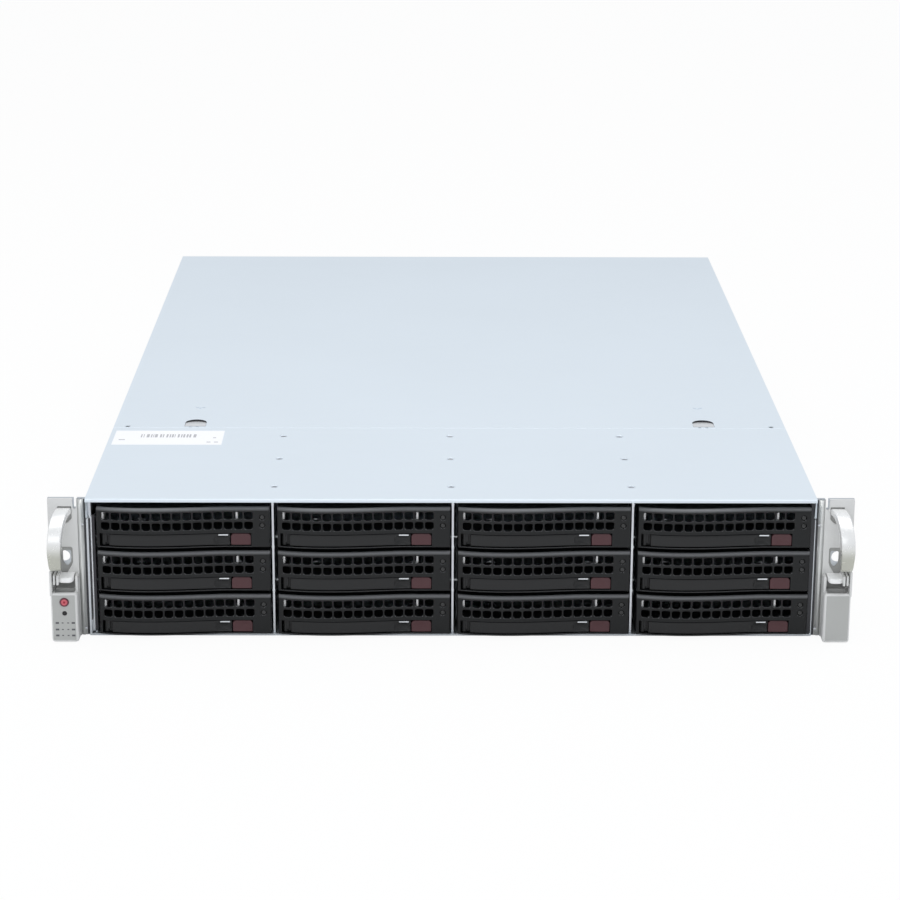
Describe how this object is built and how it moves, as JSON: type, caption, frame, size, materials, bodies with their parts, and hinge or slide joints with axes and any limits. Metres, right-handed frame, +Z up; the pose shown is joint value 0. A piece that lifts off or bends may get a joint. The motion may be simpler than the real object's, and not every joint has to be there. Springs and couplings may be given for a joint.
{
  "type": "2u rack server",
  "caption": "Low rack-mount server case with front drive bays in hot-swap carriers, bow handles on the ears, a sliding rear top cover and plug-in power supplies.",
  "frame": {"origin": "underside of the floor, in the middle of the front, in the plane of the ears' front faces", "axes": "+X to the right seen from the front, +Y to the rear, +Z up"},
  "size_m": [0.4826, 0.692, 0.088],
  "materials": {
    "steel_sheet": "satin, faint rolled grain",
    "ear_silver": "satin silver paint on moulded plastic",
    "bezel_black": "satin black moulded plastic",
    "release_maroon": "satin dark red moulded plastic",
    "power_red": "clear cap over a red ring",
    "reset_black": "matt",
    "fan_black": "matt",
    "board_green": "solder mask",
    "heatsink": "extruded",
    "memory_green": "solder mask",
    "psu_steel": "zinc plated",
    "tab_steel": "satin",
    "latch_maroon": "satin"
  },
  "bodies": {
    "chassis": {"chassis_tub": "steel_sheet", "front_top_cover": "steel_sheet", "drive_bay_dividers": "steel_sheet", "drive_backplane": "board_green", "fan_frames": "fan_black", "motherboard": "board_green", "cpu_heatsinks": "heatsink", "memory_modules": "memory_green", "power_distributor": "board_green", "expansion_slot_covers": "steel_sheet", "left_handle_housing": "ear_silver", "right_handle_housing": "ear_silver"},
    "rear_cover": {"rear_top_cover": "steel_sheet"},
    "cover_release_left": {"cover_release_left": "tab_steel"},
    "cover_release_right": {"cover_release_right": "tab_steel"},
    "power_button": {"power_button": "power_red"},
    "reset_button": {"reset_button": "reset_black"},
    "fan_rotor_1": {"fan_rotor_1": "fan_black"},
    "fan_rotor_2": {"fan_rotor_2": "fan_black"},
    "fan_rotor_3": {"fan_rotor_3": "fan_black"},
    "psu_module_1": {"psu_module_1": "psu_steel"},
    "psu_latch_1": {"psu_latch_1": "latch_maroon"},
    "psu_module_2": {"psu_module_2": "psu_steel"},
    "psu_latch_2": {"psu_latch_2": "latch_maroon"},
    "carrier_01": {"carrier_01": "bezel_black"},
    "lever_01": {"lever_01": "bezel_black"},
    "button_01": {"button_01": "release_maroon"},
    "carrier_02": {"carrier_02": "bezel_black"},
    "lever_02": {"lever_02": "bezel_black"},
    "button_02": {"button_02": "release_maroon"},
    "carrier_03": {"carrier_03": "bezel_black"},
    "lever_03": {"lever_03": "bezel_black"},
    "button_03": {"button_03": "release_maroon"},
    "carrier_04": {"carrier_04": "bezel_black"},
    "lever_04": {"lever_04": "bezel_black"},
    "button_04": {"button_04": "release_maroon"},
    "carrier_05": {"carrier_05": "bezel_black"},
    "lever_05": {"lever_05": "bezel_black"},
    "button_05": {"button_05": "release_maroon"},
    "carrier_06": {"carrier_06": "bezel_black"},
    "lever_06": {"lever_06": "bezel_black"},
    "button_06": {"button_06": "release_maroon"},
    "carrier_07": {"carrier_07": "bezel_black"},
    "lever_07": {"lever_07": "bezel_black"},
    "button_07": {"button_07": "release_maroon"},
    "carrier_08": {"carrier_08": "bezel_black"},
    "lever_08": {"lever_08": "bezel_black"},
    "button_08": {"button_08": "release_maroon"},
    "carrier_09": {"carrier_09": "bezel_black"},
    "lever_09": {"lever_09": "bezel_black"},
    "button_09": {"button_09": "release_maroon"},
    "carrier_10": {"carrier_10": "bezel_black"},
    "lever_10": {"lever_10": "bezel_black"},
    "button_10": {"button_10": "release_maroon"},
    "carrier_11": {"carrier_11": "bezel_black"},
    "lever_11": {"lever_11": "bezel_black"},
    "button_11": {"button_11": "release_maroon"},
    "carrier_12": {"carrier_12": "bezel_black"},
    "lever_12": {"lever_12": "bezel_black"},
    "button_12": {"button_12": "release_maroon"}
  },
  "joints": [
    {"name": "rear_cover_slide", "type": "slide", "parent": "chassis", "child": "rear_cover", "axis": [0, 1, 0], "range_m": [0, 0.0127]},
    {"name": "cover_release_left_press", "type": "slide", "parent": "rear_cover", "child": "cover_release_left", "axis": [0, 0, -1], "range_m": [0, 0.0025], "stiffness_N_per_m": 400, "springref_m": -0.002},
    {"name": "cover_release_right_press", "type": "slide", "parent": "rear_cover", "child": "cover_release_right", "axis": [0, 0, -1], "range_m": [0, 0.0025], "stiffness_N_per_m": 400, "springref_m": -0.002},
    {"name": "power_button_press", "type": "slide", "parent": "chassis", "child": "power_button", "axis": [0, 1, 0], "range_m": [0, 0.001], "stiffness_N_per_m": 600, "springref_m": -0.0005},
    {"name": "reset_button_press", "type": "slide", "parent": "chassis", "child": "reset_button", "axis": [0, 1, 0], "range_m": [0, 0.0006], "stiffness_N_per_m": 600, "springref_m": -0.0005},
    {"name": "fan_rotor_1_spin", "type": "hinge", "parent": "chassis", "child": "fan_rotor_1", "pos_m": [-0.142, 0.2158, 0.0412], "axis": [0, 1, 0], "continuous": true},
    {"name": "fan_rotor_2_spin", "type": "hinge", "parent": "chassis", "child": "fan_rotor_2", "pos_m": [0, 0.2158, 0.0412], "axis": [0, 1, 0], "continuous": true},
    {"name": "fan_rotor_3_spin", "type": "hinge", "parent": "chassis", "child": "fan_rotor_3", "pos_m": [0.142, 0.2158, 0.0412], "axis": [0, 1, 0], "continuous": true},
    {"name": "psu_module_1_slide", "type": "slide", "parent": "chassis", "child": "psu_module_1", "axis": [0, 1, 0], "range_m": [0, 0.34]},
    {"name": "psu_latch_1_press", "type": "slide", "parent": "psu_module_1", "child": "psu_latch_1", "axis": [-1, 0, 0], "range_m": [0, 0.003], "stiffness_N_per_m": 500, "springref_m": -0.001},
    {"name": "psu_module_2_slide", "type": "slide", "parent": "chassis", "child": "psu_module_2", "axis": [0, 1, 0], "range_m": [0, 0.34]},
    {"name": "psu_latch_2_press", "type": "slide", "parent": "psu_module_2", "child": "psu_latch_2", "axis": [-1, 0, 0], "range_m": [0, 0.003], "stiffness_N_per_m": 500, "springref_m": -0.001},
    {"name": "carrier_01_slide", "type": "slide", "parent": "chassis", "child": "carrier_01", "axis": [0, -1, 0], "range_m": [0, 0.18]},
    {"name": "carrier_02_slide", "type": "slide", "parent": "chassis", "child": "carrier_02", "axis": [0, -1, 0], "range_m": [0, 0.18]},
    {"name": "carrier_03_slide", "type": "slide", "parent": "chassis", "child": "carrier_03", "axis": [0, -1, 0], "range_m": [0, 0.18]},
    {"name": "carrier_04_slide", "type": "slide", "parent": "chassis", "child": "carrier_04", "axis": [0, -1, 0], "range_m": [0, 0.18]},
    {"name": "carrier_05_slide", "type": "slide", "parent": "chassis", "child": "carrier_05", "axis": [0, -1, 0], "range_m": [0, 0.18]},
    {"name": "carrier_06_slide", "type": "slide", "parent": "chassis", "child": "carrier_06", "axis": [0, -1, 0], "range_m": [0, 0.18]},
    {"name": "carrier_07_slide", "type": "slide", "parent": "chassis", "child": "carrier_07", "axis": [0, -1, 0], "range_m": [0, 0.18]},
    {"name": "carrier_08_slide", "type": "slide", "parent": "chassis", "child": "carrier_08", "axis": [0, -1, 0], "range_m": [0, 0.18]},
    {"name": "carrier_09_slide", "type": "slide", "parent": "chassis", "child": "carrier_09", "axis": [0, -1, 0], "range_m": [0, 0.18]},
    {"name": "carrier_10_slide", "type": "slide", "parent": "chassis", "child": "carrier_10", "axis": [0, -1, 0], "range_m": [0, 0.18]},
    {"name": "carrier_11_slide", "type": "slide", "parent": "chassis", "child": "carrier_11", "axis": [0, -1, 0], "range_m": [0, 0.18]},
    {"name": "carrier_12_slide", "type": "slide", "parent": "chassis", "child": "carrier_12", "axis": [0, -1, 0], "range_m": [0, 0.18]},
    {"name": "lever_01_swing", "type": "hinge", "parent": "carrier_01", "child": "lever_01", "pos_m": [-0.20784, -0.00047, 0.0588], "axis": [0, 0, -1], "range_deg": [0, 75]},
    {"name": "button_01_press", "type": "slide", "parent": "carrier_01", "child": "button_01", "axis": [0, 1, 0], "range_m": [0, 0.002], "stiffness_N_per_m": 600, "springref_m": -0.001},
    {"name": "lever_02_swing", "type": "hinge", "parent": "carrier_02", "child": "lever_02", "pos_m": [-0.20784, -0.00047, 0.0311], "axis": [0, 0, -1], "range_deg": [0, 75]},
    {"name": "button_02_press", "type": "slide", "parent": "carrier_02", "child": "button_02", "axis": [0, 1, 0], "range_m": [0, 0.002], "stiffness_N_per_m": 600, "springref_m": -0.001},
    {"name": "lever_03_swing", "type": "hinge", "parent": "carrier_03", "child": "lever_03", "pos_m": [-0.20784, -0.00047, 0.0034], "axis": [0, 0, -1], "range_deg": [0, 75]},
    {"name": "button_03_press", "type": "slide", "parent": "carrier_03", "child": "button_03", "axis": [0, 1, 0], "range_m": [0, 0.002], "stiffness_N_per_m": 600, "springref_m": -0.001},
    {"name": "lever_04_swing", "type": "hinge", "parent": "carrier_04", "child": "lever_04", "pos_m": [-0.09984, -0.00047, 0.0588], "axis": [0, 0, -1], "range_deg": [0, 75]},
    {"name": "button_04_press", "type": "slide", "parent": "carrier_04", "child": "button_04", "axis": [0, 1, 0], "range_m": [0, 0.002], "stiffness_N_per_m": 600, "springref_m": -0.001},
    {"name": "lever_05_swing", "type": "hinge", "parent": "carrier_05", "child": "lever_05", "pos_m": [-0.09984, -0.00047, 0.0311], "axis": [0, 0, -1], "range_deg": [0, 75]},
    {"name": "button_05_press", "type": "slide", "parent": "carrier_05", "child": "button_05", "axis": [0, 1, 0], "range_m": [0, 0.002], "stiffness_N_per_m": 600, "springref_m": -0.001},
    {"name": "lever_06_swing", "type": "hinge", "parent": "carrier_06", "child": "lever_06", "pos_m": [-0.09984, -0.00047, 0.0034], "axis": [0, 0, -1], "range_deg": [0, 75]},
    {"name": "button_06_press", "type": "slide", "parent": "carrier_06", "child": "button_06", "axis": [0, 1, 0], "range_m": [0, 0.002], "stiffness_N_per_m": 600, "springref_m": -0.001},
    {"name": "lever_07_swing", "type": "hinge", "parent": "carrier_07", "child": "lever_07", "pos_m": [0.00816, -0.00047, 0.0588], "axis": [0, 0, -1], "range_deg": [0, 75]},
    {"name": "button_07_press", "type": "slide", "parent": "carrier_07", "child": "button_07", "axis": [0, 1, 0], "range_m": [0, 0.002], "stiffness_N_per_m": 600, "springref_m": -0.001},
    {"name": "lever_08_swing", "type": "hinge", "parent": "carrier_08", "child": "lever_08", "pos_m": [0.00816, -0.00047, 0.0311], "axis": [0, 0, -1], "range_deg": [0, 75]},
    {"name": "button_08_press", "type": "slide", "parent": "carrier_08", "child": "button_08", "axis": [0, 1, 0], "range_m": [0, 0.002], "stiffness_N_per_m": 600, "springref_m": -0.001},
    {"name": "lever_09_swing", "type": "hinge", "parent": "carrier_09", "child": "lever_09", "pos_m": [0.00816, -0.00047, 0.0034], "axis": [0, 0, -1], "range_deg": [0, 75]},
    {"name": "button_09_press", "type": "slide", "parent": "carrier_09", "child": "button_09", "axis": [0, 1, 0], "range_m": [0, 0.002], "stiffness_N_per_m": 600, "springref_m": -0.001},
    {"name": "lever_10_swing", "type": "hinge", "parent": "carrier_10", "child": "lever_10", "pos_m": [0.11616, -0.00047, 0.0588], "axis": [0, 0, -1], "range_deg": [0, 75]},
    {"name": "button_10_press", "type": "slide", "parent": "carrier_10", "child": "button_10", "axis": [0, 1, 0], "range_m": [0, 0.002], "stiffness_N_per_m": 600, "springref_m": -0.001},
    {"name": "lever_11_swing", "type": "hinge", "parent": "carrier_11", "child": "lever_11", "pos_m": [0.11616, -0.00047, 0.0311], "axis": [0, 0, -1], "range_deg": [0, 75]},
    {"name": "button_11_press", "type": "slide", "parent": "carrier_11", "child": "button_11", "axis": [0, 1, 0], "range_m": [0, 0.002], "stiffness_N_per_m": 600, "springref_m": -0.001},
    {"name": "lever_12_swing", "type": "hinge", "parent": "carrier_12", "child": "lever_12", "pos_m": [0.11616, -0.00047, 0.0034], "axis": [0, 0, -1], "range_deg": [0, 75]},
    {"name": "button_12_press", "type": "slide", "parent": "carrier_12", "child": "button_12", "axis": [0, 1, 0], "range_m": [0, 0.002], "stiffness_N_per_m": 600, "springref_m": -0.001}
  ]
}
